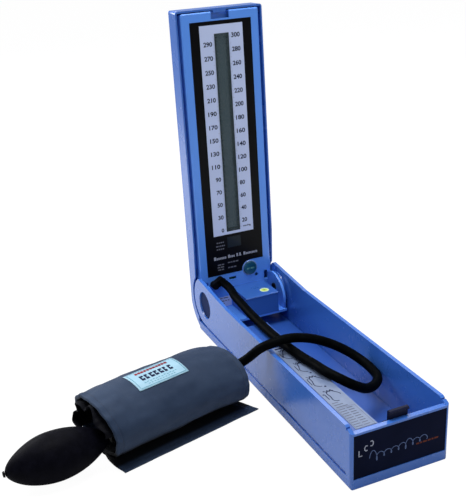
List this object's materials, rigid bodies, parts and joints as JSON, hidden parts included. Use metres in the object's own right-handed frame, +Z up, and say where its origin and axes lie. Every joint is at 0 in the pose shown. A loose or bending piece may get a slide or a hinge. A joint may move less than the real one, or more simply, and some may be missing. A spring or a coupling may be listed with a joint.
{
  "type": "sphygmomanometer",
  "caption": "Desk sphygmomanometer: long open tray case with a hinged lid standing upright that carries a column gauge, with a rolled arm cuff, hand bulb and hose",
  "frame": {"origin": "Middle of the base's flat underside, halfway from the front face to the hinge axis", "axes": "+Z up, -Y towards the front face, the upright lid stands at +Y, +X to the right seen from the front. The cuff and bulb lie at -X"},
  "size_m": [0.3575, 0.365, 0.3547],
  "materials": {
    "case": "smooth moulded plastic, satin to glossy",
    "cover": "plain moulded plastic",
    "black": "smooth black",
    "steel": "plated steel",
    "white": "printed sheet",
    "cap": "moulded cap",
    "scale": "white plate",
    "glass": "clear window",
    "lcd": "liquid crystal panel",
    "ring": "light ring",
    "button": "teal button",
    "board": "circuit board",
    "holder": "moulded holder",
    "cell": "battery sleeve",
    "seal": "round sticker",
    "sensor": "sensor body",
    "rubber": "black rubber",
    "cloth": "woven nylon",
    "chrome": "plated brass"
  },
  "bodies": {
    "base": {"base_case": "case", "bottom_cover": "cover", "tray_liner": "case", "cover_screws": "steel", "front_plate": "black", "instruction_sheet": "white", "hinge_pins": "steel", "pivot_caps": "cap", "latch_guide": "black", "hose": "rubber", "cuff_wrap": "cloth", "cuff_label": "white", "cuff_bladder": "rubber", "bulb": "rubber", "intake_valve": "chrome", "release_valve": "chrome", "bulb_tube": "rubber"},
    "lid": {"lid_shell": "case", "lid_panel": "case", "lid_screws": "steel", "fascia": "black", "scale_plate": "scale", "column_glass": "glass", "column_display": "lcd", "status_window": "glass", "button_ring": "ring", "circuit_board": "board", "battery_holder": "holder", "battery_contacts": "steel", "batteries": "cell", "sensor_box": "case", "sensor_box_cover": "case", "check_seal": "seal", "pressure_sensor": "sensor", "sensor_tube": "rubber", "hose_elbow": "black", "panel_label": "white"},
    "latch": {"latch_tongue": "black"},
    "power_button": {"power_button": "button"},
    "battery_door": {"battery_door": "case"},
    "valve_screw": {"valve_screw": "chrome"}
  },
  "joints": [
    {"name": "lid_hinge", "type": "hinge", "parent": "base", "child": "lid", "pos_m": [0, 0.157, 0.041], "axis": [1, 0, 0], "range_deg": [0, 92], "deforming": ["hose"]},
    {"name": "latch_slide", "type": "slide", "parent": "base", "child": "latch", "axis": [0, 1, 0], "range_m": [0, 0.002], "stiffness_N_per_m": 300, "springref_m": -0.001},
    {"name": "power_button", "type": "slide", "parent": "lid", "child": "power_button", "axis": [0, 0.9994, -0.0349], "range_m": [0, 0.001], "stiffness_N_per_m": 300, "springref_m": -0.0005},
    {"name": "battery_door", "type": "slide", "parent": "lid", "child": "battery_door", "axis": [0, 0.9994, -0.0349], "range_m": [0, 0.012]},
    {"name": "release_valve", "type": "hinge", "parent": "base", "child": "valve_screw", "pos_m": [-0.2029, -0.01958, 0.03173], "axis": [-0.0337, -0.0025, 0.9994], "range_deg": [0, 360]}
  ]
}
